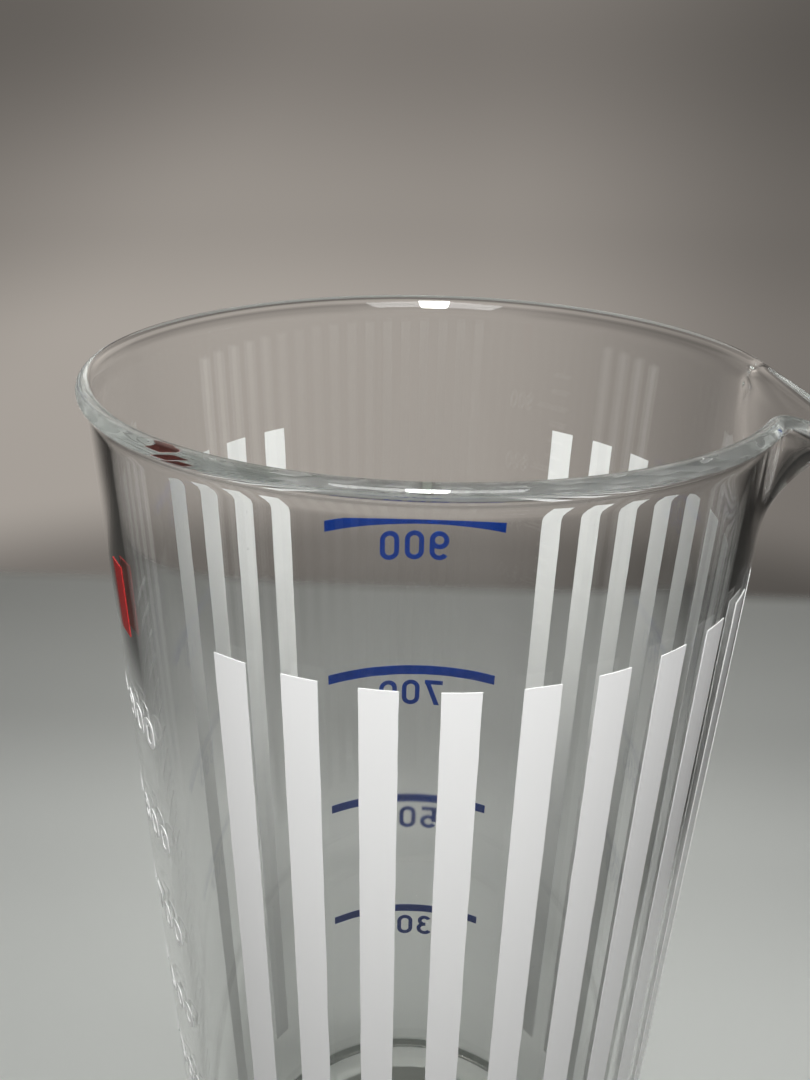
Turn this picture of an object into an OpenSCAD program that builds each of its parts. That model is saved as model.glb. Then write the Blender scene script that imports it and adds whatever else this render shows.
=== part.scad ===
// Tall glass measuring cup with a pouring spout and fired enamel prints.
// The origin is the middle of the foot's underside, +Z is up and the spout points along +X.

/* [Glass] */
// Height from the foot to the top of the rim
glass_h = 210.8; // [195:0.2:230]
// Outside diameter of the straight wall
body_d = 88; // [80:1:100]
// Thickness of the wall
wall_t = 2; // [1.6:0.1:3]
// Thickness of the floor
floor_t = 6; // [4:0.5:10]
// Radius of the outside corner at the foot
heel_r = 5; // [2:0.5:8]
// Radius of the inside corner at the floor
inside_corner_r = 6; // [2:0.5:10]
// Diameter of the hollow under the foot
hollow_d = 60; // [40:1:62]
// Depth of the hollow under the foot
hollow_h = 0.8; // [0.3:0.1:2]

/* [Rim] */
// How far the rim stands out beyond the wall
rim_out = 1; // [0.5:0.1:3]
// Thickness of the rounded bead along the rim
bead_t = 2.2; // [1.8:0.1:3.6]
// Height over which the wall turns out to the rim
flare_h = 2.5; // [2:0.5:12]

/* [Spout] */
// Reach of the lip beyond the rim
spout_reach = 8; // [5:0.5:10]
// Drop of the lip's tip below the rim
spout_drop = 4.5; // [2:0.5:5.5]
// Height of the part of the wall that the spout takes up
spout_h = 15; // [13:0.5:15.5]
// Width of the spout from shoulder to shoulder
spout_w = 28; // [18:1:34]
// How far the wall is drawn in at the shoulders of the spout
spout_pinch = 0.1; // [0:0.1:0.8]

/* [Stripes] */
// Width of one stripe
stripe_w = 4.1; // [2:0.1:6]
// Angle from one stripe to the next
stripe_step = 10.85; // [10:0.05:11.2]
// Number of stripes in the front band
front_count = 17; // [9:1:18]
// Number of stripes in the side band
side_count = 4; // [1:1:5]
// Direction of the middle of the front band, from the spout
front_middle = -17.5; // [-22:0.5:-14]
// Direction of the middle of the side band, from the spout
side_middle = 159.5; // [156:0.5:163]
// Distance from the rim down to the tops of the stripes
stripe_top_gap = 22.3; // [22:0.1:50]
// Height of the stripes' lower ends above the foot
stripe_foot_gap = 31; // [12:1:60]
// Thickness of the fired enamel
ink_t = 0.2; // [0.1:0.05:0.5]

/* [Blue bars] */
// Width of one bar
bar_w = 38; // [20:0.5:44]
// Height of one bar
bar_h = 2.3; // [1:0.1:4]
// Volume at the lowest bar, in millilitres
bar_first = 300; // [200:100:400]
// Volume from one bar to the next, in millilitres
bar_step = 200; // [100:100:300]
// Height of the numbers under the bars
bar_digit_h = 6.5; // [4:0.5:9]
// Space between a bar and its number
bar_digit_gap = 1.5; // [0.5:0.1:3]

/* [Scale] */
// Volume from one numbered line to the next, in millilitres
scale_step = 100; // [50:50:200]
// Spaces between two numbered lines
scale_parts = 4; // [1:1:5]
// Height of a scale line
line_h = 0.8; // [0.4:0.1:1.2]
// Length of a numbered line
long_line = 15; // [10:0.5:20]
// Length of the lines between
short_line = 8; // [4:0.5:9]
// Height of the scale's numbers
scale_digit_h = 4.6; // [3:0.1:6]
// Space between a numbered line and its number
scale_digit_gap = 2.4; // [1:0.1:4]

/* [Red mark] */
// Width of the upright red bar
red_bar_w = 3.5; // [2:0.5:6]
// Height of the red bar
red_h = 9.5; // [6:0.5:10.5]
// Space under the red bar
red_gap = 1.4; // [0.5:0.1:2]
// Direction of the red bar's outer edge, from the middle of the scale
red_end = 13.5; // [10:0.5:16]

/* [Hidden] */
$fn = 96;

body_r = body_d / 2;
inner_r = body_r - wall_t;
wall_mid = body_r - wall_t / 2;
rim_r = body_r + rim_out;
bead_mid = rim_r - bead_t / 2;

// The wall is a plain tube below collar_z; the flare, the bead and the spout are above it
collar_z = glass_h - max(spout_h + spout_drop, flare_h) - 1;
// The tube's section ends at joint_z, where the rim's section goes on
joint_z = collar_z - 3;
// The spout is let into the tube and the rim beside it, a little inside their faces
seam = 0.05;
lap = 0.6;
spout_half = asin(spout_w / 2 / rim_r);
sector_half = spout_half + 1;
profile_rows = 12;
bead_rows = 6;
spout_columns = 30;

// A volume inside the glass gives the height of its line
corner_loss = (1 - PI / 4) * inside_corner_r ^ 2 * 2 * PI * (inner_r - 0.223 * inside_corner_r);
ml_h = 1000 / (PI * inner_r ^ 2);
zero_z = floor_t + corner_loss / (PI * inner_r ^ 2);
print_top = glass_h - stripe_top_gap;
capacity = scale_step * floor((print_top - zero_z) / ml_h / scale_step);
// The white lines end clear of the red mark, and so do the white numbers
line_step = scale_step / scale_parts;
red_foot_z = zero_z + capacity * ml_h - red_h / 2;
line_room = red_foot_z - red_gap - line_h / 2 - zero_z;
line_end = line_step * floor(line_room / ml_h / line_step);
number_room = red_foot_z - red_gap - scale_digit_h / 2 - zero_z;
scale_end = scale_step * floor(number_room / ml_h / scale_step);

front_half = (front_count - 1) / 2 * stripe_step;
side_half = (side_count - 1) / 2 * stripe_step;
// The blue bars and the scale each stand midway between the bands beside them
bars_at = (front_middle + front_half + side_middle - side_half) / 2;
scale_at = (side_middle + side_half + front_middle - front_half + 360) / 2 - 360;

function level(ml) = zero_z + ml * ml_h;
function arc_angle(length) = length / body_r * 180 / PI;

// Outward swing of the wall's middle, at height z under a rim whose bead is centred at top
function flare(z, top) =
    let (t = max(0, (z - top + flare_h) / flare_h))
    (bead_mid - wall_mid) * t ^ 2.4;

// The spout's share round the rim: 1 at its middle, 0 at its shoulders
function spread(angle) = (1 - min(1, abs(angle) / spout_half) ^ 2) ^ 2.5;

// The pinch's share: 1 two thirds of the way to a shoulder
function pinch(angle) =
    let (x = min(1, abs(angle) / spout_half))
    45.6 * x ^ 4 * (1 - x) ^ 2;

function bead_z(angle) = glass_h - bead_t / 2 - spout_drop * spread(angle);

// Middle of the wall at one angle, as radius and height; t is 0 at the bottom and 1 at the bead
function wall_middle(angle, t, bottom) =
    let (top = bead_z(angle),
         z = bottom + (top - bottom) * t,
         rise = max(0, (z - top + spout_h) / spout_h),
         swing = spout_reach * spread(angle) * rise ^ 2.3 - spout_pinch * pinch(angle) * rise ^ 1.6)
    [wall_mid + flare(z, top) + swing, z];

function wall_lean(angle, t, bottom) =
    let (a = wall_middle(angle, t - 0.01, bottom),
         b = wall_middle(angle, t + 0.01, bottom))
    (b - a) / norm(b - a);

// Half of the wall's thickness: it swells into the bead over the last part of the flare
function half_wall(t, span) =
    let (x = max(0, 1 - (1 - t) * span / flare_h))
    wall_t / 2 + (bead_t - wall_t) / 2 * x ^ 3;

function row_t(i) = 1 - (1 - i / profile_rows) ^ 1.4;

// How much further the radius cuts through the wall where the wall runs slantwise to it
function slant(angle, t, bottom) =
    abs(angle) >= spout_half ? 1 :
    let (a = wall_middle(angle - 0.2, t, bottom)[0],
         b = wall_middle(angle + 0.2, t, bottom)[0],
         run = (a + b) / 2 * 0.4 * PI / 180)
    norm([b - a, run]) / run;

// A wall section at one angle: up the outside, over the bead and down the inside
function wall_outline(angle, bottom, inset) =
    let (span = bead_z(angle) - bottom,
         tip = wall_middle(angle, 1, bottom),
         lean = wall_lean(angle, 1, bottom),
         out = slant(angle, 1, bottom) * [lean[1], -lean[0]],
         offsets = [for (i = [0:profile_rows - 1])
                        let (t = row_t(i),
                             u = wall_lean(angle, t, bottom))
                        (half_wall(t, span) - inset) * slant(angle, t, bottom) * [u[1], -u[0]]])
    [for (i = [0:profile_rows - 1]) wall_middle(angle, row_t(i), bottom) + offsets[i],
     for (i = [0:bead_rows])
         let (a = 180 * i / bead_rows)
         tip + (bead_t / 2 - inset) * (cos(a) * out + sin(a) * lean),
     for (i = [profile_rows - 1:-1:0]) wall_middle(angle, row_t(i), bottom) - offsets[i]];

// A block with one rounded corner, revolved for the outside and for the space inside
module corner_block(radius, height, corner) {
    translate([0, corner]) square([radius, height - corner]);
    square([radius - corner, corner + 0.01]);
    translate([radius - corner, corner]) circle(corner);
}

module tube_section() {
    rise = hollow_h * 4;
    intersection() {
        square([body_r + 1, joint_z]);
        difference() {
            corner_block(body_r, collar_z + heel_r, heel_r);
            translate([0, floor_t]) corner_block(inner_r, glass_h, inside_corner_r);
            polygon([[-1, -1], [hollow_d / 2 + rise, -1], [hollow_d / 2, 0],
                     [hollow_d / 2 - rise, hollow_h], [-1, hollow_h]]);
        }
    }
}

// The rim turned about the axis, with a gap in it for the spout
module plain_glass() {
    reach = 2 * rim_r;
    difference() {
        union() {
            rotate_extrude() tube_section();
            rotate_extrude() polygon(wall_outline(180, joint_z, 0));
        }
        translate([0, 0, collar_z])
            linear_extrude(height = glass_h)
                polygon([[0, 0], reach * [cos(sector_half), -sin(sector_half)],
                         reach * [cos(sector_half), sin(sector_half)]]);
    }
}

// The spout's stretch of the wall, swept from shoulder to shoulder
module spout() {
    bottom = collar_z - lap;
    end = sector_half + lap;
    angles = [for (i = [0:spout_columns]) end * (2 * i / spout_columns - 1)];
    rings = [for (a = angles)
                 [for (p = wall_outline(a, bottom, seam))
                      [p[0] * cos(a), p[0] * sin(a), p[1]]]];
    n = len(rings[0]);
    points = [for (ring = rings) each ring];
    skin = [for (i = [0:spout_columns - 1], j = [0:n - 1])
                let (a = i * n + j,
                     b = i * n + (j + 1) % n)
                each [[a, b, b + n], [a, b + n, a + n]]];
    // The section is closed across the wall at both ends, row by row
    half = floor(n / 2);
    ends = [for (j = [0:half - 1])
                let (k = n - 1 - j)
                each [[j, k, k - 1], [j, k - 1, j + 1]]];
    first = [for (f = ends) if (f[0] != f[1] && f[1] != f[2] && f[0] != f[2]) f];
    last = [for (f = first) [for (v = [2:-1:0]) f[v] + spout_columns * n]];
    polyhedron(points, [each skin, each first, each last], convexity = 4);
}

module glass_cup() {
    color("azure", 0.4) {
        plain_glass();
        spout();
    }
}

// A printed patch that follows the wall, centred on one direction
module wall_patch(at, width, bottom, height) {
    angle = arc_angle(width);
    rotate([0, 0, at - angle / 2])
        rotate_extrude(angle = angle)
            translate([body_r, bottom]) square([ink_t, height]);
}

module stripe_band(middle, count) {
    for (i = [0:count - 1])
        wall_patch(middle + (i - (count - 1) / 2) * stripe_step, stripe_w,
                   stripe_foot_gap, print_top - stripe_foot_gap);
}

module front_stripes() {
    color("white") stripe_band(front_middle, front_count);
}

module side_stripes() {
    color("white") stripe_band(side_middle, side_count);
}

module blue_bars() {
    color([0.04, 0.2, 0.6])
        for (ml = [bar_first:bar_step:capacity])
            wall_patch(bars_at, bar_w, level(ml) - bar_h, bar_h);
}

// Part of a ring between two directions
module bend(r, s, from, to) {
    steps = ceil((to - from) / 45);
    intersection() {
        difference() {
            circle(r, $fn = 32);
            circle(r - s, $fn = 32);
        }
        polygon([[0, 0], for (i = [0:steps]) 2 * r * [cos(from + (to - from) * i / steps),
                                                      sin(from + (to - from) * i / steps)]]);
    }
}

module long_ring(w, h, s) {
    difference() {
        long_disc(w, h);
        translate([s, s]) long_disc(w - 2 * s, h - 2 * s);
    }
}

module long_disc(w, h) {
    translate([w / 2, w / 2]) circle(w / 2, $fn = 32);
    translate([w / 2, h - w / 2]) circle(w / 2, $fn = 32);
    translate([0, w / 2]) square([w, h - w]);
}

// Plain digits in a box w wide and h high, drawn with a stroke s
module digit(value, h) {
    w = digit_w(h);
    s = 0.16 * h;
    r = w / 2;
    low = (h + s) / 4 + 0.02 * h;
    high = (h + s) / 2 - low;
    if (value == 0) long_ring(w, h, s);
    if (value == 1) digit_one(w, h, s);
    if (value == 2) {
        translate([r, h - r]) bend(r, s, -30, 170);
        polygon([[0, 0], [w, 0], [w, s], [1.6 * s, s],
                 [r + 0.98 * r * cos(-20), h - r + 0.98 * r * sin(-20)],
                 [r + (r - 0.9 * s) * cos(-20), h - r + (r - 0.9 * s) * sin(-20)], [0, 0.9 * s]]);
    }
    if (value == 3) {
        translate([r, h - high]) bend(high, s, -100, 150);
        translate([r, low]) bend(low, s, -150, 100);
    }
    if (value == 4) digit_four(w, h, s);
    if (value == 5) {
        translate([0, h - s]) square([0.92 * w, s]);
        translate([0.04 * w, low]) square([s, h - low]);
        translate([r, low]) bend(low, s, -150, 150);
    }
    if (value == 6) digit_six(w, h, s, r);
    if (value == 7) {
        translate([0, h - s]) square([w, s]);
        polygon([[w, h - s / 2], [w - 1.1 * s, h - s / 2], [0.16 * w, 0], [0.16 * w + 1.15 * s, 0]]);
    }
    if (value == 8) {
        translate([r, h - high]) bend(high, s, 0, 360);
        translate([r, low]) bend(low, s, 0, 360);
    }
    if (value == 9) translate([w, h]) rotate(180) digit_six(w, h, s, r);
}

module digit_one(w, h, s) {
    x = 0.42 * w;
    translate([x, 0]) square([s, h]);
    polygon([[x + s / 2, h], [x, h], [x - 0.2 * h, h - 0.2 * h],
             [x - 0.2 * h, h - 0.2 * h - 1.2 * s], [x + s / 2, h - 1.5 * s]]);
}

module digit_four(w, h, s) {
    x = 0.6 * w;
    y = 0.22 * h;
    translate([x, 0]) square([s, h]);
    translate([0, y]) square([w, s]);
    polygon([[x + s / 2, h], [x, h], [0, y + s], [0, y + s / 2], [1.1 * s, y + s / 2],
             [x + s / 2, h - 1.4 * s]]);
}

module digit_six(w, h, s, r) {
    translate([r, r]) bend(r, s, 0, 360);
    translate([0, r]) square([s, h - 2 * r]);
    translate([r, h - r]) bend(r, s, 30, 180);
}

function digit_w(h) = 0.62 * h;
function digit_pitch(h) = 0.8 * h;
function number_w(value, h) = (len(str(value)) - 1) * digit_pitch(h) + digit_w(h);

// A whole number, centred on x = 0 with its foot on y = 0
module number(value, h) {
    figures = str(value);
    for (i = [0:len(figures) - 1])
        translate([i * digit_pitch(h) - number_w(value, h) / 2, 0])
            digit(ord(figures[i]) - ord("0"), h);
}

// A flat drawing laid on the wall at one direction and height, as a skin of enamel
module on_wall(at, z) {
    intersection() {
        rotate([0, 0, at]) translate([0, 0, z]) rotate([90, 0, 90])
            linear_extrude(height = body_r + 2 * ink_t) children();
        difference() {
            cylinder(r = body_r + ink_t, h = glass_h);
            translate([0, 0, -1]) cylinder(r = body_r, h = glass_h + 2);
        }
    }
}

module blue_numerals() {
    color([0.04, 0.2, 0.6])
        for (ml = [bar_first:bar_step:capacity])
            on_wall(bars_at, level(ml) - bar_h - bar_digit_gap - bar_digit_h)
                number(ml, bar_digit_h);
}

// The scale's lines start at one direction and run towards the numbers
scale_left = (long_line + scale_digit_gap + number_w(scale_end, scale_digit_h)) / 2;

module scale_line(ml, length) {
    wall_patch(scale_at + arc_angle(length / 2 - scale_left), length, level(ml) - line_h / 2, line_h);
}

module scale_lines() {
    color("white")
        for (ml = [scale_step:line_step:line_end])
            scale_line(ml, ml % scale_step == 0 ? long_line : short_line);
}

module scale_numerals() {
    color("white")
        for (ml = [scale_step:scale_step:scale_end])
            on_wall(scale_at + arc_angle(long_line + scale_digit_gap - scale_left
                                         + number_w(ml, scale_digit_h) / 2),
                    level(ml) - scale_digit_h / 2)
                number(ml, scale_digit_h);
}

// The red bar is centred on the height of the scale's top volume
module red_top_mark() {
    color("firebrick")
        wall_patch(scale_at + red_end - arc_angle(red_bar_w / 2), red_bar_w, red_foot_z, red_h);
}

glass_cup();
front_stripes();
side_stripes();
blue_bars();
blue_numerals();
scale_lines();
scale_numerals();
red_top_mark();
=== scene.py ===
import math

import bmesh
import bpy
from bpy.props import FloatProperty, FloatVectorProperty, IntProperty, PointerProperty
from mathutils import Matrix, Vector, noise


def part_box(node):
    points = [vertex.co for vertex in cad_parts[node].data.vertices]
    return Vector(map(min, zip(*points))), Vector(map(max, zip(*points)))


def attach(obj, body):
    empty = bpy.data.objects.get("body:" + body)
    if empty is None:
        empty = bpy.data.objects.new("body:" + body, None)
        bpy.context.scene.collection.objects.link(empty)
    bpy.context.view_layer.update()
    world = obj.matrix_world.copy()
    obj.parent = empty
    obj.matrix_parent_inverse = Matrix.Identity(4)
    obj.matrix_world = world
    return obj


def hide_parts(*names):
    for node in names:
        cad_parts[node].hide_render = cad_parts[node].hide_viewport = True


bl_info = {
    "name": "Measuring cup",
    "version": (1, 0, 0),
    "blender": (4, 5, 0),
    "location": "3D View > Sidebar > Measuring cup",
    "description": "Makes the glass, the fired enamel prints and the studio of a measuring cup",
    "category": "Add Mesh",
}

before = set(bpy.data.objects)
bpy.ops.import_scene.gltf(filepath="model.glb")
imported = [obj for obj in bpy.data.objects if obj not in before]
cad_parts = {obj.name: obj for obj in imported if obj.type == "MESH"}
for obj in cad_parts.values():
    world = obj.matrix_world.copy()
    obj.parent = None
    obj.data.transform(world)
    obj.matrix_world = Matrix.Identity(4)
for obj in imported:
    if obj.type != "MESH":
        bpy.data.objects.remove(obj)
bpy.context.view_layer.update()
glass_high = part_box("glass_cup")[1]

MM = 0.001
TURN = 2 * math.pi


class GlassSizes(bpy.types.PropertyGroup):
    """Sizes of the glass and of its rim and spout."""

    height: FloatProperty(
        name="Height", description="From the foot to the top of the rim",
        default=round(glass_high.z, 4), unit="LENGTH")
    rim_radius: FloatProperty(
        name="Rim radius", description="Outside radius of the rounded rim",
        default=round(glass_high.y, 4), unit="LENGTH")
    rim_out: FloatProperty(
        name="Rim flare", description="How far the rim stands out beyond the wall",
        default=1.0 * MM, unit="LENGTH")
    wall: FloatProperty(
        name="Wall", description="Thickness of the wall", default=2.0 * MM, unit="LENGTH")
    bead: FloatProperty(
        name="Bead", description="Thickness of the rounded bead along the rim",
        default=2.2 * MM, unit="LENGTH")
    flare_height: FloatProperty(
        name="Flare height", description="Height over which the wall turns out to the rim",
        default=2.5 * MM, unit="LENGTH")
    floor: FloatProperty(
        name="Floor", description="Thickness of the floor", default=6.0 * MM, unit="LENGTH")
    heel: FloatProperty(
        name="Heel", description="Radius of the outside corner at the foot",
        default=5.0 * MM, unit="LENGTH")
    inside_corner: FloatProperty(
        name="Inside corner", description="Radius of the inside corner at the floor",
        default=6.0 * MM, unit="LENGTH")
    hollow_radius: FloatProperty(
        name="Hollow", description="Radius of the hollow under the foot",
        default=30.0 * MM, unit="LENGTH")
    hollow_depth: FloatProperty(
        name="Hollow depth", description="Depth of the hollow under the foot",
        default=0.8 * MM, unit="LENGTH")
    spout_reach: FloatProperty(
        name="Spout reach", description="Reach of the lip beyond the rim",
        default=8.0 * MM, unit="LENGTH")
    spout_drop: FloatProperty(
        name="Spout drop", description="Drop of the lip's tip below the rim",
        default=4.5 * MM, unit="LENGTH")
    spout_height: FloatProperty(
        name="Spout height", description="Height of the part of the wall that the spout takes up",
        default=15.0 * MM, unit="LENGTH")
    spout_width: FloatProperty(
        name="Spout width", description="Width of the spout from shoulder to shoulder",
        default=28.0 * MM, unit="LENGTH")
    spout_pinch: FloatProperty(
        name="Spout pinch", description="How far the wall is drawn in at the spout's shoulders",
        default=0.1 * MM, unit="LENGTH")
    unevenness: FloatProperty(
        name="Unevenness", description="How far the inside of the wall waves in and out",
        default=0.03 * MM, unit="LENGTH")
    steps: IntProperty(
        name="Steps", description="Faces round the glass", default=360, min=48)


class EnamelSizes(bpy.types.PropertyGroup):
    """Thickness and colours of the fired prints."""

    sink: FloatProperty(
        name="Sink", description="How deep the enamel is fused into the glass",
        default=0.02 * MM, unit="LENGTH")
    thickness: FloatProperty(
        name="Thickness", description="How far the enamel stands out of the glass",
        default=0.08 * MM, unit="LENGTH")
    edge_wave: FloatProperty(
        name="Edge wave", description="How far the printed edges wander",
        default=0.05 * MM, unit="LENGTH")
    pitch: FloatProperty(
        name="Pitch", description="Length of one face of a print",
        default=1.0 * MM, unit="LENGTH")
    white: FloatVectorProperty(
        name="White", description="Colour of the white enamel", subtype="COLOR",
        default=(0.84, 0.84, 0.82))
    blue: FloatVectorProperty(
        name="Blue", description="Colour of the blue enamel", subtype="COLOR",
        default=(0.001, 0.028, 0.2))
    red: FloatVectorProperty(
        name="Red", description="Colour of the red enamel", subtype="COLOR",
        default=(0.2, 0.065, 0.055))


class StudioSettings(bpy.types.PropertyGroup):
    """The floor, the light and the camera."""

    view_turn: FloatProperty(
        name="View turn", description="Direction that the camera looks in, round the cup",
        default=math.radians(13), unit="ROTATION")
    camera_distance: FloatProperty(
        name="Camera distance", description="From the cup's axis to the camera",
        default=0.1142, unit="LENGTH")
    camera_height: FloatProperty(
        name="Camera height", description="Of the camera above the floor",
        default=0.23966, unit="LENGTH")
    camera_yaw: FloatProperty(
        name="Camera yaw", description="How far the camera looks past the axis",
        default=math.radians(-1.58), unit="ROTATION")
    camera_pitch: FloatProperty(
        name="Camera pitch", description="How far the camera looks down",
        default=math.radians(26.14), unit="ROTATION")
    camera_roll: FloatProperty(
        name="Camera roll", description="How far the camera leans",
        default=math.radians(-1.12), unit="ROTATION")
    lens: FloatProperty(
        name="Lens", description="Focal length in millimetres", default=28.9)
    floor_edge: FloatProperty(
        name="Floor edge", description="From the cup's axis to the floor's far edge",
        default=0.315, unit="LENGTH")
    floor_colour: FloatVectorProperty(
        name="Floor colour", description="Colour of the floor", subtype="COLOR",
        default=(0.93, 0.96, 0.92))
    backdrop_colour: FloatVectorProperty(
        name="Backdrop colour", description="Colour of the backdrop", subtype="COLOR",
        default=(0.4, 0.365, 0.33))
    lamp_power: FloatProperty(
        name="Lamp power", description="Power of the main lamp in watts", default=0.178)
    sheen_power: FloatProperty(
        name="Sheen power", description="Power of the wide lamp that only reflections show",
        default=0.55)
    fill_power: FloatProperty(
        name="Fill power", description="Power of the broad lamp overhead in watts",
        default=3.204)
    ambient: FloatProperty(
        name="Ambient", description="Strength of the soft light from all round", default=0.08)
    ceiling: FloatProperty(
        name="Ceiling", description="Brightness overhead, beside the backdrop's", default=3.0)
    side_shade: FloatProperty(
        name="Side shade", description="Brightness far to the left and right, beside the middle's",
        default=0.12)


def ramp(x):
    """A smooth step from 0 to 1."""
    x = min(1.0, max(0.0, x))
    return x * x * (3 - 2 * x)


def body_radius(sizes):
    """Outside radius of the wall."""
    return sizes.rim_radius - sizes.rim_out


def collar_z(sizes):
    """Height above which the wall isn't a plain tube."""
    reach_down = max(sizes.spout_height + sizes.spout_drop, sizes.flare_height)
    return sizes.height - reach_down - 1 * MM


def spout_half(sizes):
    """Angle from the spout's middle to a shoulder."""
    return math.asin(sizes.spout_width / 2 / sizes.rim_radius)


def spread(sizes, angle):
    """The spout's share round the rim: 1 at its middle, 0 at its shoulders."""
    x = min(1.0, abs(angle) / spout_half(sizes))
    return (1 - x * x) ** 2.5


def pinch(sizes, angle):
    """The pinch's share: 1 two thirds of the way to a shoulder."""
    x = min(1.0, abs(angle) / spout_half(sizes))
    return 45.6 * x ** 4 * (1 - x) ** 2


def wall_middle(sizes, angle, t):
    """Middle of the wall as radius and height; t is 0 at the collar and 1 at the bead."""
    low = collar_z(sizes)
    top = sizes.height - sizes.bead / 2 - sizes.spout_drop * spread(sizes, angle)
    z = low + (top - low) * t
    middle = body_radius(sizes) - sizes.wall / 2
    out = sizes.rim_radius - sizes.bead / 2 - middle
    flare = out * max(0.0, (z - top) / sizes.flare_height + 1) ** 2.4
    rise = max(0.0, (z - top) / sizes.spout_height + 1)
    swing = sizes.spout_reach * spread(sizes, angle) * rise ** 2.3
    draw = sizes.spout_pinch * pinch(sizes, angle) * rise ** 1.6
    return Vector((middle + flare + swing - draw, z))


def slant(sizes, angle, t):
    """How much further the radius cuts through the wall where the wall runs slantwise to it."""
    step = math.radians(0.2)
    before, after = (wall_middle(sizes, angle + turn, t).x for turn in (-step, step))
    run = (before + after) * step
    return math.hypot(after - before, run) / run


def wall_point(sizes, angle, t, side, along):
    """A point beside the wall's middle: side is square to the wall, along follows it."""
    step = 0.01
    lean = (wall_middle(sizes, angle, t + step) - wall_middle(sizes, angle, t - step)).normalized()
    out = slant(sizes, angle, t) * Vector((lean.y, -lean.x))
    return wall_middle(sizes, angle, t) + side * out + along * lean


def arc(centre, radius, start, end, count):
    """Points on an arc as radius and height, both ends included."""
    angles = [start + (end - start) * i / count for i in range(count + 1)]
    return [(centre[0] + radius * math.cos(a), centre[1] + radius * math.sin(a)) for a in angles]


def settle_order(elements, key):
    """Puts vertices, edges or faces in an order that is the same on every run."""
    for index, element in enumerate(sorted(elements, key=key)):
        element.index = index
    elements.sort()


def new_piece(name, bm, smooth=True):
    """Makes an object from a bmesh, merged and facing outwards."""
    bmesh.ops.remove_doubles(bm, verts=bm.verts, dist=1e-7)
    bmesh.ops.recalc_face_normals(bm, faces=bm.faces)
    settle_order(bm.verts, lambda v: tuple(v.co))
    for elements in (bm.edges, bm.faces):
        settle_order(elements, lambda part: sorted(v.index for v in part.verts))
    mesh = bpy.data.meshes.new(name)
    bm.to_mesh(mesh)
    bm.free()
    if smooth:
        mesh.shade_smooth()
    else:
        mesh.shade_flat()
    piece = bpy.data.objects.new(name, mesh)
    bpy.context.scene.collection.objects.link(piece)
    return piece


def glass_profile(sizes):
    """Half of the glass's section: plain points, then (t, side, along) above the collar."""
    slope_rows, corner_rows, wall_rows, collar_rows, bead_rows = 8, 14, 24, 40, 14
    radius = body_radius(sizes)
    inner = radius - sizes.wall
    slope = 4 * MM
    hollow = [(sizes.hollow_radius - slope * (1 - i / slope_rows),
               sizes.hollow_depth * (1 - ramp(i / slope_rows))) for i in range(slope_rows + 1)]
    outside = [(0, sizes.hollow_depth), (sizes.hollow_radius / 2, sizes.hollow_depth), *hollow,
               ((sizes.hollow_radius + radius - sizes.heel) / 2, 0),
               *arc((radius - sizes.heel, sizes.heel), sizes.heel, -math.pi / 2, 0, corner_rows)]
    inside = [*arc((inner - sizes.inside_corner, sizes.floor + sizes.inside_corner),
                   sizes.inside_corner, 0, -math.pi / 2, corner_rows),
              (inner / 2, sizes.floor), (0, sizes.floor)]
    low, high = sizes.heel, collar_z(sizes)
    outside += [(radius, low + (high - low) * i / wall_rows) for i in range(1, wall_rows)]
    low = sizes.floor + sizes.inside_corner
    inside = [(inner, low + (high - low) * (1 - i / wall_rows))
              for i in range(1, wall_rows)] + inside
    span = sizes.height - sizes.bead / 2 - high
    # The rows crowd together towards the bead, where the wall turns most
    steps = [1 - (1 - i / collar_rows) ** 1.3 for i in range(collar_rows)]
    half = [sizes.wall / 2 + (sizes.bead - sizes.wall) / 2
            * max(0.0, 1 - (1 - t) * span / sizes.flare_height) ** 3 for t in steps]
    collar = [(t, h, 0.0) for t, h in zip(steps, half)]
    collar += [(1.0, sizes.bead / 2 * math.cos(math.pi * i / bead_rows),
                sizes.bead / 2 * math.sin(math.pi * i / bead_rows)) for i in range(bead_rows + 1)]
    collar += [(t, -h, 0.0) for t, h in zip(reversed(steps), reversed(half))]
    return outside, collar, inside


def make_glass(sizes):
    """Spins the section into a glass, then draws the spout out of its rim."""
    bm = bmesh.new()
    share = bm.verts.layers.float.new("share")
    side = bm.verts.layers.float.new("side")
    along = bm.verts.layers.float.new("along")

    def add_vert(r, z, t=-1.0, s=0.0, a=0.0):
        v = bm.verts.new((r, 0, z))
        v[share], v[side], v[along] = t, s, a
        return v

    outside, collar, inside = glass_profile(sizes)
    verts = [add_vert(*point) for point in outside]
    verts += [add_vert(*wall_point(sizes, math.pi, *place), *place) for place in collar]
    verts += [add_vert(*point) for point in inside]
    edges = [bm.edges.new(pair) for pair in zip(verts, verts[1:])]
    bmesh.ops.spin(bm, geom=verts + edges, cent=(0, 0, 0), axis=(0, 0, 1), angle=TURN,
                   steps=sizes.steps, use_merge=True)
    bmesh.ops.remove_doubles(bm, verts=bm.verts, dist=1e-7)
    inner = body_radius(sizes) - sizes.wall
    fade_height = 10 * MM
    waves_across, waves_up = 30, 12
    for v in bm.verts:
        angle = math.atan2(v.co.y, v.co.x)
        if v[share] >= 0 and abs(angle) < spout_half(sizes):
            r, z = wall_point(sizes, angle, v[share], v[side], v[along])
            v.co = (r * math.cos(angle), r * math.sin(angle), z)
        flat = math.hypot(v.co.x, v.co.y)
        if inner * 0.8 < flat < inner + 1e-6 and sizes.floor < v.co.z < collar_z(sizes):
            fade = ramp((collar_z(sizes) - v.co.z) / fade_height)
            wave = noise.noise(Vector((v.co.x * waves_across, v.co.y * waves_across,
                                       v.co.z * waves_up)))
            grow = 1 + sizes.unevenness * wave * fade / flat
            v.co.x *= grow
            v.co.y *= grow
    return new_piece("clear_glass", bm)


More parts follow.
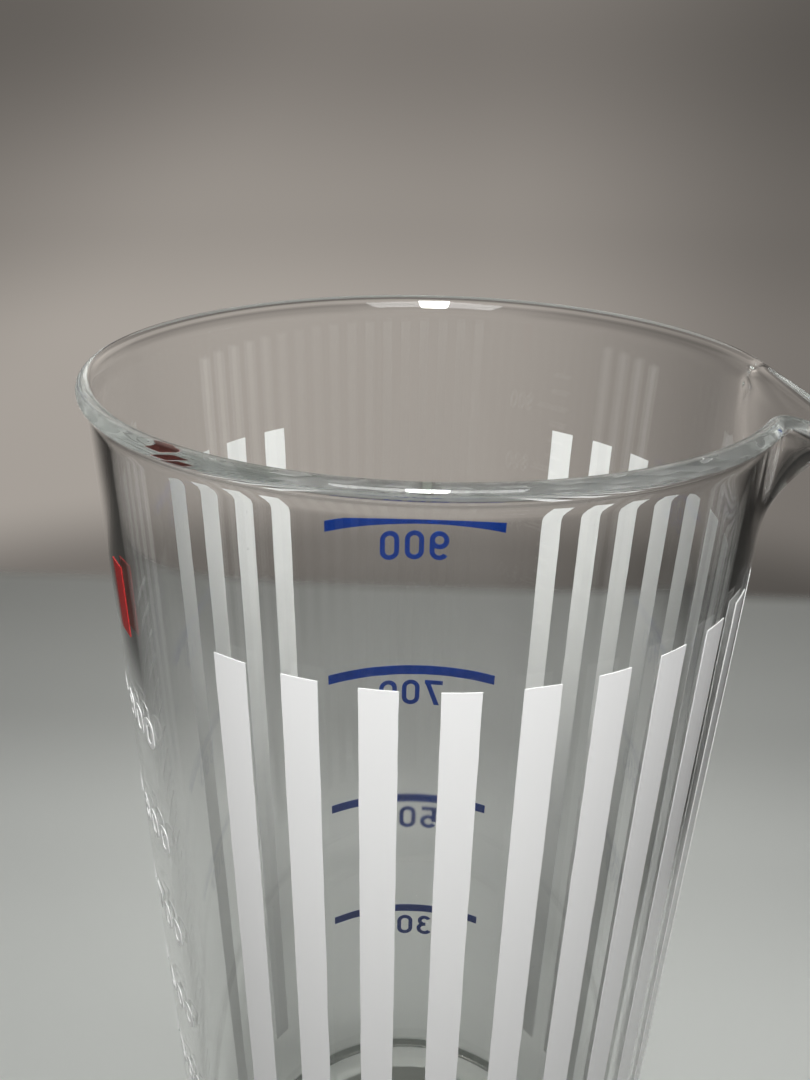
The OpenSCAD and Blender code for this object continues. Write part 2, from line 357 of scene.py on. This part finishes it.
def print_islands(node):
    """Each separate print of a CAD node as its middle direction, half angle and height range."""
    bm = bmesh.new()
    bm.from_mesh(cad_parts[node].data)
    bmesh.ops.remove_doubles(bm, verts=bm.verts, dist=1e-6)
    seen, islands = set(), []
    for start in bm.verts:
        if start in seen:
            continue
        seen.add(start)
        queue, island = [start], []
        while queue:
            v = queue.pop()
            island.append(v.co.copy())
            for e in v.link_edges:
                other = e.other_vert(v)
                if other not in seen:
                    seen.add(other)
                    queue.append(other)
        first = math.atan2(island[0].y, island[0].x)
        turns = [(math.atan2(c.y, c.x) - first + math.pi) % TURN - math.pi for c in island]
        low, high = min(turns), max(turns)
        heights = [c.z for c in island]
        islands.append((first + (low + high) / 2, (high - low) / 2, min(heights), max(heights)))
    bm.free()
    return sorted(islands)


def add_patch(bm, sizes, radius, at, half, low, high):
    """A thin printed patch that follows the wall, with slightly wandering edges."""
    width, height = 2 * half * radius, high - low
    columns = max(2, round(width / sizes.pitch))
    rows = max(1, round(height / sizes.pitch))
    place = Matrix.Translation((0, 0, (low + high) / 2)) @ Matrix.Rotation(math.pi / 2, 4, "X")
    made = bmesh.ops.create_grid(bm, x_segments=columns, y_segments=rows, size=0.5,
                                 matrix=place @ Matrix.Diagonal((width, height, 1, 1)))
    for v in made["verts"]:
        seed = Vector((at * 40, v.co.z * 260, v.co.x * 260))
        if abs(v.co.x) > width / 2 - 1e-6:
            v.co.x += sizes.edge_wave * noise.noise(seed)
        if abs(v.co.z - (low + high) / 2) > height / 2 - 1e-6:
            v.co.z += sizes.edge_wave * noise.noise(seed + Vector((7, 0, 0)))
    faces = list({f for v in made["verts"] for f in v.link_faces})
    grown = bmesh.ops.extrude_face_region(bm, geom=faces)
    outer = {v for v in grown["geom"] if isinstance(v, bmesh.types.BMVert)}
    for v in [*made["verts"], *outer]:
        r = radius + (sizes.thickness if v in outer else -sizes.sink)
        angle = at + v.co.x / radius
        v.co = (r * math.cos(angle), r * math.sin(angle), v.co.z)


def make_patches(name, node, sizes, radius):
    """A piece with one patch for each separate print of a CAD node."""
    bm = bmesh.new()
    for at, half, low, high in print_islands(node):
        add_patch(bm, sizes, radius, at, half, low, high)
    return new_piece(name, bm, smooth=False)


def make_numbers(name, node, sizes, radius):
    """The CAD node's numbers, thinned to a print and fused into the glass."""
    bm = bmesh.new()
    bm.from_mesh(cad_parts[node].data)
    bmesh.ops.remove_doubles(bm, verts=bm.verts, dist=1e-6)
    flats = [math.hypot(v.co.x, v.co.y) for v in bm.verts]
    middle = (min(flats) + max(flats)) / 2
    for v, flat in zip(bm.verts, flats):
        r = radius + (sizes.thickness if flat > middle else -sizes.sink)
        v.co.x *= r / flat
        v.co.y *= r / flat
    return new_piece(name, bm, smooth=False)


def shader_tree(name):
    """A new node material as its material, its nodes and its links."""
    material = bpy.data.materials.new(name)
    material.use_nodes = True
    return material, material.node_tree.nodes, material.node_tree.links


def add_node(nodes, kind, **values):
    """Adds a node; values name its properties or its input sockets."""
    node = nodes.new(kind)
    for key, value in values.items():
        socket = node.inputs.get(key.replace("_", " ").title())
        if hasattr(node, key):
            setattr(node, key, value)
        elif socket is not None:
            socket.default_value = value
        else:
            raise ValueError(f"{kind} has nothing named {key}")
    return node


def noise_field(nodes, links, scale, detail=3.0, stretch=(1, 1, 1)):
    """Noise on object coordinates, as the output socket of its value."""
    place = nodes.new("ShaderNodeTexCoord")
    mapping = add_node(nodes, "ShaderNodeMapping", scale=stretch)
    field = add_node(nodes, "ShaderNodeTexNoise", scale=scale, detail=detail)
    links.new(place.outputs["Object"], mapping.inputs["Vector"])
    links.new(mapping.outputs["Vector"], field.inputs["Vector"])
    return field.outputs["Fac"]


def remap(nodes, links, value, low, high, to_low, to_high):
    """A value scaled from one range to another, as an output socket."""
    change = add_node(nodes, "ShaderNodeMapRange", interpolation_type="SMOOTHSTEP")
    for key, number in zip(("From Min", "From Max", "To Min", "To Max"),
                           (low, high, to_low, to_high)):
        change.inputs[key].default_value = number
    links.new(value, change.inputs["Value"])
    return change.outputs["Result"]


def blend(nodes, links, factor, first, second, how="MIX"):
    """Two colours blended, as an output socket; each of them may be a socket or plain."""
    mix = nodes.new("ShaderNodeMix")
    mix.data_type = "RGBA"
    mix.blend_type = how
    for key, value in (("Factor", factor), ("A", first), ("B", second)):
        if isinstance(value, bpy.types.NodeSocket):
            links.new(value, mix.inputs[key])
        elif key == "Factor":
            mix.inputs[key].default_value = value
        else:
            mix.inputs[key].default_value = (*value, 1)
    return mix.outputs["Result"]


def multiplied(nodes, links, first, second):
    """Two colours multiplied; the second may be a plain colour."""
    return blend(nodes, links, 1, first, second, "MULTIPLY")


def combined(nodes, links, operation, first, second):
    """Two numbers combined by a math operation; the second may be a plain number."""
    node = add_node(nodes, "ShaderNodeMath", operation=operation)
    links.new(first, node.inputs[0])
    if isinstance(second, bpy.types.NodeSocket):
        links.new(second, node.inputs[1])
    else:
        node.inputs[1].default_value = second
    return node.outputs["Value"]


def either(nodes, links, factor, first, second):
    """The first shader where the factor is 0 and the second where it is 1."""
    pick = nodes.new("ShaderNodeMixShader")
    links.new(factor, pick.inputs["Fac"])
    links.new(first, pick.inputs[1])
    links.new(second, pick.inputs[2])
    return pick.outputs["Shader"]


def glass_material():
    """Clear glass: faintly green in its depth, very slightly uneven, with faint smears."""
    material, nodes, links = shader_tree("clear_glass")
    shader = nodes["Principled BSDF"]
    shader.inputs["Base Color"].default_value = (1, 1, 1, 1)
    shader.inputs["Transmission Weight"].default_value = 1
    shader.inputs["IOR"].default_value = 1.5
    smears = noise_field(nodes, links, scale=40, detail=4)
    links.new(remap(nodes, links, smears, 0.56, 0.8, 0.0, 0.06), shader.inputs["Roughness"])
    bump = add_node(nodes, "ShaderNodeBump", strength=0.05, distance=0.0005)
    waves = noise_field(nodes, links, scale=55, detail=1, stretch=(1, 1, 0.4))
    links.new(waves, bump.inputs["Height"])
    links.new(bump.outputs["Normal"], shader.inputs["Normal"])
    depth = add_node(nodes, "ShaderNodeVolumeAbsorption", density=8)
    depth.inputs["Color"].default_value = (0.88, 0.92, 0.89, 1)
    let_through = nodes.new("ShaderNodeBsdfTransparent")
    let_through.inputs["Color"].default_value = (0.62, 0.63, 0.62, 1)
    path = nodes.new("ShaderNodeLightPath")
    surface = either(nodes, links, path.outputs["Is Shadow Ray"],
                     shader.outputs["BSDF"], let_through.outputs["BSDF"])
    output = nodes["Material Output"]
    links.new(surface, output.inputs["Surface"])
    links.new(depth.outputs["Volume"], output.inputs["Volume"])
    return material


def enamel_material(name, colour, speck, in_glass):
    """Fired enamel: glossy, a little mottled, with tiny specks and an orange-peel surface.
    Its face in the glass has no gloss of its own, because it is fused to the glass."""
    material, nodes, links = shader_tree(name)
    shader = nodes["Principled BSDF"]
    darker = [c * 0.93 for c in colour]
    mottled = blend(nodes, links, noise_field(nodes, links, scale=90, detail=4), colour, darker)
    spots = remap(nodes, links, noise_field(nodes, links, scale=900, detail=2), 0.74, 0.78, 0, 0.5)
    links.new(blend(nodes, links, spots, mottled, speck), shader.inputs["Base Color"])
    if in_glass:
        shader.inputs["Roughness"].default_value = 0.9
        shader.inputs["Specular IOR Level"].default_value = 0
        return material
    shine = remap(nodes, links, noise_field(nodes, links, scale=220, detail=3), 0.3, 0.7, 0.3, 0.46)
    links.new(shine, shader.inputs["Roughness"])
    bump = add_node(nodes, "ShaderNodeBump", strength=0.15, distance=0.00005)
    links.new(noise_field(nodes, links, scale=700, detail=2), bump.inputs["Height"])
    links.new(bump.outputs["Normal"], shader.inputs["Normal"])
    return material


def dress(piece, material, slot, *nodes):
    """Gives a piece its finish and its place in the frame."""
    piece.data.materials.clear()
    piece.data.materials.append(material)
    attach(piece, "root")
    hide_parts(*nodes)


def enamel(kind, sizes, in_glass):
    """The enamel of one colour, made once and shared by its prints."""
    name = f"{kind}_enamel_in_glass" if in_glass else f"{kind}_enamel"
    speck = {"white": (0.45, 0.45, 0.44), "blue": (0.02, 0.05, 0.2), "red": (0.2, 0.03, 0.03)}
    found = bpy.data.materials.get(name)
    return found or enamel_material(name, getattr(sizes, kind), speck[kind], in_glass)


def dress_print(piece, kind, node):
    """Gives a print its enamel, glossy outside and dull in the glass, and its place."""
    sizes = bpy.context.scene.cup_enamel
    dress(piece, enamel(kind, sizes, False), f"{kind}_enamel", node)
    piece.data.materials.append(enamel(kind, sizes, True))
    for face in piece.data.polygons:
        outward = Vector((face.center.x, face.center.y, 0)).normalized()
        if face.normal.dot(outward) < -0.5:
            face.material_index = 1


def add_print(scene, make, kind, node):
    """Makes one print from its CAD node and gives it its enamel."""
    piece = make(f"{node}_print", node, scene.cup_enamel, body_radius(scene.cup_glass))
    dress_print(piece, kind, node)


class CUP_OT_glass(bpy.types.Operator):
    """Makes the glass with its rim and spout"""

    bl_idname = "cup.glass"
    bl_label = "Glass"

    def execute(self, context):
        piece = make_glass(context.scene.cup_glass)
        dress(piece, glass_material(), "clear_glass", "glass_cup")
        return {"FINISHED"}


class CUP_OT_stripes(bpy.types.Operator):
    """Prints the white stripes of the front and side bands"""

    bl_idname = "cup.stripes"
    bl_label = "White stripes"

    def execute(self, context):
        for node in ("front_stripes", "side_stripes"):
            add_print(context.scene, make_patches, "white", node)
        return {"FINISHED"}


class CUP_OT_blue_marks(bpy.types.Operator):
    """Prints the blue bars and the numbers under them"""

    bl_idname = "cup.blue_marks"
    bl_label = "Blue bars and numbers"

    def execute(self, context):
        add_print(context.scene, make_patches, "blue", "blue_bars")
        add_print(context.scene, make_numbers, "blue", "blue_numerals")
        return {"FINISHED"}


class CUP_OT_scale(bpy.types.Operator):
    """Prints the white scale and the red mark above it"""

    bl_idname = "cup.scale"
    bl_label = "Scale"

    def execute(self, context):
        add_print(context.scene, make_patches, "white", "scale_lines")
        add_print(context.scene, make_numbers, "white", "scale_numerals")
        add_print(context.scene, make_patches, "red", "red_top_mark")
        return {"FINISHED"}


def turned_direction(nodes, links, studio, output):
    """Coordinates turned so that X runs across the view and Y away from the camera."""
    place = nodes.new("ShaderNodeTexCoord")
    turn = nodes.new("ShaderNodeMapping")
    turn.inputs["Rotation"].default_value[2] = -studio.view_turn
    split = nodes.new("ShaderNodeSeparateXYZ")
    links.new(place.outputs[output], turn.inputs["Vector"])
    links.new(turn.outputs["Vector"], split.inputs["Vector"])
    return split


def tone_ramp(nodes, links, value, low, high, stops):
    """A grey that follows a value through stops of (place, brightness)."""
    scaled = nodes.new("ShaderNodeMapRange")
    scaled.inputs["From Min"].default_value = low
    scaled.inputs["From Max"].default_value = high
    links.new(value, scaled.inputs["Value"])
    ramp_node = nodes.new("ShaderNodeValToRGB")
    ramp_node.color_ramp.interpolation = "EASE"
    elements = ramp_node.color_ramp.elements
    while len(elements) < len(stops):
        elements.new(0.5)
    for element, (place, tone) in zip(elements, stops):
        element.position = (place - low) / (high - low)
        element.color = (tone, tone, tone, 1)
    links.new(scaled.outputs["Result"], ramp_node.inputs["Fac"])
    return ramp_node.outputs["Color"]


def floor_material(studio):
    """A pale matt floor with painted shade that darkens it away from the camera; it fades into the
    backdrop at its far edge.
    """
    material, nodes, links = shader_tree("studio_floor")
    shader = nodes["Principled BSDF"]
    shader.inputs["Roughness"].default_value = 0.55
    split = turned_direction(nodes, links, studio, "Object")
    # Painted shade: the floor's colour grows darker away from the camera, where less lamp light
    # falls
    depth = tone_ramp(nodes, links, split.outputs["Y"], -0.3, studio.floor_edge,
                      [(-0.3, 0.94), (0.05, 0.94), (0.12, 0.82), (0.2, 0.6),
                       (studio.floor_edge, 0.52)])
    # Painted shade for all but camera rays: the glass and the gloss show the floor painted darker
    # beside the cup and before it
    sides = tone_ramp(nodes, links, split.outputs["X"], -0.6, 0.6,
                      [(-0.28, studio.side_shade), (-0.18, 1.0), (0.13, 1.0),
                       (0.19, studio.side_shade / 2)])
    before = tone_ramp(nodes, links, split.outputs["Y"], -0.3, 0.3, [(-0.12, 0.4), (0.03, 1.0)])
    path = nodes.new("ShaderNodeLightPath")
    painted_shade = blend(nodes, links, path.outputs["Is Camera Ray"],
                     multiplied(nodes, links, sides, before), (1, 1, 1))
    darker = [c * 0.95 for c in studio.floor_colour]
    patches = noise_field(nodes, links, scale=9, detail=2)
    mottled = blend(nodes, links, patches, darker, studio.floor_colour)
    shaded = multiplied(nodes, links, depth, painted_shade)
    links.new(multiplied(nodes, links, shaded, mottled), shader.inputs["Base Color"])
    fade = remap(nodes, links, split.outputs["Y"],
                 studio.floor_edge - 0.01, studio.floor_edge + 0.01, 0, 1)
    gone = nodes.new("ShaderNodeBsdfTransparent")
    surface = either(nodes, links, fade, shader.outputs["BSDF"], gone.outputs["BSDF"])
    links.new(surface, nodes["Material Output"].inputs["Surface"])
    return material


def make_floor(studio):
    """A wide floor whose far edge lies square to the view."""
    bm = bmesh.new()
    half = 2.0
    faded_edge = 0.02
    place = (Matrix.Rotation(studio.view_turn, 4, "Z")
             @ Matrix.Translation((0, studio.floor_edge + faded_edge - half, 0)))
    bmesh.ops.create_grid(bm, x_segments=1, y_segments=1, size=half, matrix=place)
    mesh = bpy.data.meshes.new("studio_floor")
    bm.to_mesh(mesh)
    bm.free()
    floor = bpy.data.objects.new("studio_floor", mesh)
    bpy.context.scene.collection.objects.link(floor)
    floor.data.materials.append(floor_material(studio))


def make_world(studio):
    """A soft grey backdrop under a white ceiling to look at, and even light from all round."""
    world = bpy.data.worlds.new("studio_world")
    bpy.context.scene.world = world
    world.use_nodes = True
    nodes, links = world.node_tree.nodes, world.node_tree.links
    seen = nodes["Background"]
    lit = nodes.new("ShaderNodeBackground")
    lit.inputs["Color"].default_value = (1, 0.985, 0.96, 1)
    lit.inputs["Strength"].default_value = studio.ambient
    split = turned_direction(nodes, links, studio, "Generated")
    # Painted shade on the backdrop: a dark band where it meets the floor, darker towards the upper
    # left and the right, and dark far to the sides
    height = tone_ramp(nodes, links, split.outputs["Z"], -1, 1,
                       [(-0.5, 0.36), (-0.45, 0.44), (-0.37, 0.93), (-0.22, 0.95), (-0.1, 0.74),
                        (0.07, 0.5), (0.14, 0.55), (0.38, studio.ceiling), (1.0, studio.ceiling)])
    across = tone_ramp(nodes, links, split.outputs["X"], -1, 1,
                       [(-0.7, studio.side_shade), (-0.46, 1.02), (-0.2, 1.06), (0.05, 0.98),
                        (0.4, 0.5), (0.46, 0.4), (0.56, studio.side_shade / 2)])
    leftwards = combined(nodes, links, "SUBTRACT", split.outputs["Z"], split.outputs["X"])
    corner = tone_ramp(nodes, links, leftwards, -1, 1, [(0.15, 1.0), (0.5, 0.62)])
    tinted = multiplied(nodes, links, height, studio.backdrop_colour)
    cornered = multiplied(nodes, links, tinted, corner)
    links.new(multiplied(nodes, links, cornered, across), seen.inputs["Color"])
    # The backdrop is seen straight, in glass and through it; what is matt is lit evenly instead
    path = nodes.new("ShaderNodeLightPath").outputs
    straight = combined(nodes, links, "MAXIMUM", path["Is Camera Ray"], path["Is Glossy Ray"])
    clear = combined(nodes, links, "MAXIMUM", straight, path["Is Transmission Ray"])
    not_matt = combined(nodes, links, "LESS_THAN", path["Diffuse Depth"], 0.5)
    share = combined(nodes, links, "MULTIPLY", clear, not_matt)
    light = either(nodes, links, share, lit.outputs["Background"], seen.outputs["Background"])
    links.new(light, nodes["World Output"].inputs["Surface"])


def add_lamp(name, place, aim, size, power, beam=math.pi):
    """A rectangular soft lamp, aimed at a point."""
    data = bpy.data.lights.new(name, "AREA")
    data.shape = "RECTANGLE"
    data.size, data.size_y = size
    data.energy = power
    data.spread = beam
    lamp = bpy.data.objects.new(name, data)
    lamp.location = place
    lamp.rotation_euler = (Vector(aim) - Vector(place)).to_track_quat("-Z", "Y").to_euler()
    lamp.visible_camera = False
    # What stands behind glass gets this lamp's light by the glass's shadow colour alone
    lamp.visible_transmission = False
    bpy.context.scene.collection.objects.link(lamp)
    return lamp


def make_lamps(studio):
    """One tall lamp above and before the cup, its sheen and a broad one overhead."""
    turn = Matrix.Rotation(studio.view_turn, 3, "Z")
    far_rim = turn @ Vector((0, 0.044, 0.18))
    above = turn @ Vector((0.0, -0.2, 0.4))
    overhead = turn @ Vector((0.1, -0.24, 0.83))
    beam = math.radians(74)
    add_lamp("main", above, far_rim, (0.05, 0.17), studio.lamp_power, beam)
    sheen = add_lamp("sheen", above + Vector((0, 0, 0.01)), far_rim, (0.24, 0.12),
                     studio.sheen_power)
    sheen.visible_diffuse = False
    fill = add_lamp("fill", overhead, far_rim, (1.3, 0.3), studio.fill_power)
    fill.visible_glossy = False


def make_camera(studio):
    """The camera that the cup is seen with first."""
    data = bpy.data.cameras.new("view")
    data.lens = studio.lens
    data.sensor_width = 36
    data.clip_start = 0.005
    camera = bpy.data.objects.new("view", data)
    turn = Matrix.Rotation(studio.view_turn, 4, "Z")
    look = (Matrix.Rotation(studio.view_turn - studio.camera_yaw, 4, "Z")
            @ Matrix.Rotation(math.pi / 2 - studio.camera_pitch, 4, "X")
            @ Matrix.Rotation(-studio.camera_roll, 4, "Z"))
    place = turn @ Vector((0, -studio.camera_distance, studio.camera_height))
    camera.matrix_world = Matrix.Translation(place) @ look
    bpy.context.scene.collection.objects.link(camera)
    bpy.context.scene.camera = camera


class CUP_OT_studio(bpy.types.Operator):
    """Makes the floor, the backdrop, the lamps and the camera"""

    bl_idname = "cup.studio"
    bl_label = "Studio"

    def execute(self, context):
        studio = context.scene.cup_studio
        make_floor(studio)
        make_world(studio)
        make_lamps(studio)
        make_camera(studio)
        context.scene.view_settings.view_transform = "Standard"
        # The light turns many times in the rim before it leaves
        bounces = 96
        cycles = context.scene.cycles
        cycles.max_bounces = bounces
        cycles.transmission_bounces = bounces
        cycles.glossy_bounces = bounces
        return {"FINISHED"}


OPERATORS = (CUP_OT_glass, CUP_OT_stripes, CUP_OT_blue_marks, CUP_OT_scale, CUP_OT_studio)


class CUP_PT_panel(bpy.types.Panel):
    """Lists the steps that make the cup"""

    bl_label = "Measuring cup"
    bl_idname = "CUP_PT_panel"
    bl_space_type = "VIEW_3D"
    bl_region_type = "UI"
    bl_category = "Measuring cup"

    def draw(self, context):
        for operator in OPERATORS:
            self.layout.operator(operator.bl_idname)
        for group in ("cup_glass", "cup_enamel", "cup_studio"):
            settings = getattr(context.scene, group)
            box = self.layout.box()
            for key in settings.__annotations__:
                box.prop(settings, key)


GROUPS = {"cup_glass": GlassSizes, "cup_enamel": EnamelSizes, "cup_studio": StudioSettings}


def register():
    """Adds the settings, the operators and the panel."""
    for kind in (*GROUPS.values(), *OPERATORS, CUP_PT_panel):
        bpy.utils.register_class(kind)
    for name, group in GROUPS.items():
        setattr(bpy.types.Scene, name, PointerProperty(type=group))


def unregister():
    """Takes the settings, the operators and the panel away."""
    for name in GROUPS:
        delattr(bpy.types.Scene, name)
    for kind in (CUP_PT_panel, *reversed(OPERATORS), *GROUPS.values()):
        bpy.utils.unregister_class(kind)


def main():
    """Makes the cup and its studio."""
    register()
    bpy.ops.cup.glass()
    bpy.ops.cup.stripes()
    bpy.ops.cup.blue_marks()
    bpy.ops.cup.scale()
    bpy.ops.cup.studio()


if __name__ == "__main__":
    main()
